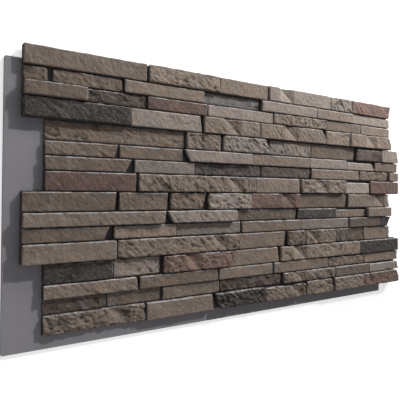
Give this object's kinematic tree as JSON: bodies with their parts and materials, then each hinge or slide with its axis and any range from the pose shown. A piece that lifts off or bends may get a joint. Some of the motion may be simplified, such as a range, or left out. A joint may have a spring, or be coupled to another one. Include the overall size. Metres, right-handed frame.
{
  "type": "faux stone wall panel",
  "caption": "Rectangular moulded wall panel with ledge stone relief in staggered bands on a thin backing flange, and lapped edges that interlock with the next panel.",
  "frame": {"origin": "middle of the bounding box in plan, at the flat back of the backing flange", "axes": "+X along the courses to the right, +Y up on the wall, +Z out of the wall; the panel is stored lying on its back"},
  "size_m": [1.291, 0.633, 0.0376],
  "materials": {
    "moulded_stone": "matt coloured stone relief, tan with grey, brown and reddish stones, on a grey backing"
  },
  "bodies": {
    "root": {"wall_panel": "moulded_stone"}
  },
  "joints": []
}
